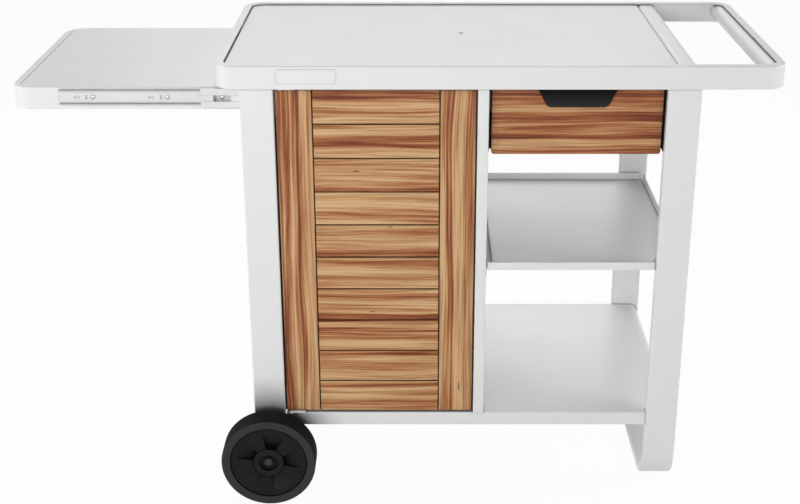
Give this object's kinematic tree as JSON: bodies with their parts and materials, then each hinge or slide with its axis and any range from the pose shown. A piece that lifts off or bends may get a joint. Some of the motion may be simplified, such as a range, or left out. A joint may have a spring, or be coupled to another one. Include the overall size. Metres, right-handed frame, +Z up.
{
  "type": "grill cart with storage",
  "caption": "White steel outdoor cart on wheels with a push handle, slatted wood door and drawer front, open shelves and a pull-out side shelf.",
  "frame": {"origin": "on the floor, at the middle of the box round the cart with its side shelf pulled out", "axes": "+X to the cart's right, towards the push handle, +Y to its back, +Z up"},
  "size_m": [1.386, 0.678, 0.85],
  "materials": {
    "white_powder_coat": "satin white powder coat on steel",
    "black_powder_coat": "matt black powder coat on steel",
    "slide_steel": "light zinc-grey coat on slide steel",
    "zinc_steel": "zinc plated steel",
    "acacia": "oiled acacia",
    "tyre_rubber": "matt rubber",
    "hub_plastic": "matt moulded plastic",
    "grey_plastic": "matt plastic"
  },
  "bodies": {
    "cart_frame": {"top_band": "white_powder_coat", "worktop_panel": "white_powder_coat", "worktop_stiffeners": "white_powder_coat", "top_cross_rail": "white_powder_coat", "front_top_rail": "white_powder_coat", "back_top_rail": "white_powder_coat", "handle_grip": "white_powder_coat", "right_side_frame": "white_powder_coat", "left_front_leg": "white_powder_coat", "left_rear_leg": "white_powder_coat", "bottom_shelf": "white_powder_coat", "centre_front_post": "white_powder_coat", "centre_rear_post": "white_powder_coat", "partition_panel": "white_powder_coat", "cabinet_left_panel": "white_powder_coat", "cabinet_back_panel": "white_powder_coat", "mid_shelf": "white_powder_coat", "mid_shelf_rails": "white_powder_coat", "shelf_slide_supports": "white_powder_coat", "shelf_slide_outer_front": "slide_steel", "shelf_slide_outer_rear": "slide_steel", "drawer_slide_outer_left": "black_powder_coat", "drawer_slide_outer_right": "black_powder_coat", "drawer_support_left": "black_powder_coat", "drawer_support_right": "black_powder_coat", "axle": "zinc_steel", "frame_screws": "zinc_steel", "door_hinge_brackets": "zinc_steel", "axle_caps": "hub_plastic", "leg_end_caps": "hub_plastic", "door_catch": "grey_plastic"},
    "side_shelf": {"shelf_panel": "white_powder_coat", "shelf_end_trim": "white_powder_coat", "shelf_ribs": "white_powder_coat", "shelf_slide_inner_front": "slide_steel", "shelf_slide_inner_rear": "slide_steel", "shelf_screws": "zinc_steel"},
    "shelf_slide_middles": {"shelf_slide_middle_front": "slide_steel", "shelf_slide_middle_rear": "slide_steel", "shelf_slide_cages": "zinc_steel"},
    "drawer": {"drawer_front": "acacia", "drawer_pull": "black_powder_coat", "drawer_box": "black_powder_coat", "drawer_slide_inner_left": "black_powder_coat", "drawer_slide_inner_right": "black_powder_coat"},
    "drawer_slide_middles": {"drawer_slide_middle_left": "black_powder_coat", "drawer_slide_middle_right": "black_powder_coat", "drawer_slide_cages": "zinc_steel"},
    "door": {"door_stiles": "acacia", "door_slats": "acacia", "door_back_panel": "black_powder_coat", "door_edge_strip": "black_powder_coat", "door_pivot_plates": "zinc_steel"},
    "front_wheel": {"front_tyre": "tyre_rubber", "front_wheel_hub": "hub_plastic", "front_wheel_bush": "grey_plastic"},
    "rear_wheel": {"rear_tyre": "tyre_rubber", "rear_wheel_hub": "hub_plastic", "rear_wheel_bush": "grey_plastic"}
  },
  "joints": [
    {"name": "door_hinge", "type": "hinge", "parent": "cart_frame", "child": "door", "pos_m": [-0.2045, -0.265, 0.48], "axis": [0, 0, -1], "range_deg": [0, 75]},
    {"name": "drawer_slide", "type": "slide", "parent": "cart_frame", "child": "drawer", "axis": [0, -1, 0], "range_m": [0, 0.35]},
    {"name": "drawer_middle_slide", "type": "slide", "parent": "cart_frame", "child": "drawer_slide_middles", "axis": [0, -1, 0], "range_m": [0, 0.175]},
    {"name": "side_shelf_slide", "type": "slide", "parent": "cart_frame", "child": "side_shelf", "axis": [1, 0, 0], "range_m": [0, 0.371]},
    {"name": "shelf_middle_slide", "type": "slide", "parent": "cart_frame", "child": "shelf_slide_middles", "axis": [1, 0, 0], "range_m": [0, 0.1855]},
    {"name": "front_wheel_spin", "type": "hinge", "parent": "cart_frame", "child": "front_wheel", "pos_m": [-0.246, -0.296, 0.09], "axis": [0, 1, 0], "continuous": true},
    {"name": "rear_wheel_spin", "type": "hinge", "parent": "cart_frame", "child": "rear_wheel", "pos_m": [-0.246, 0.296, 0.09], "axis": [0, 1, 0], "continuous": true}
  ],
  "couplings": [
    {"joint": "drawer_middle_slide", "follows": "drawer_slide", "ratio": 0.5},
    {"joint": "shelf_middle_slide", "follows": "side_shelf_slide", "ratio": 0.5}
  ]
}
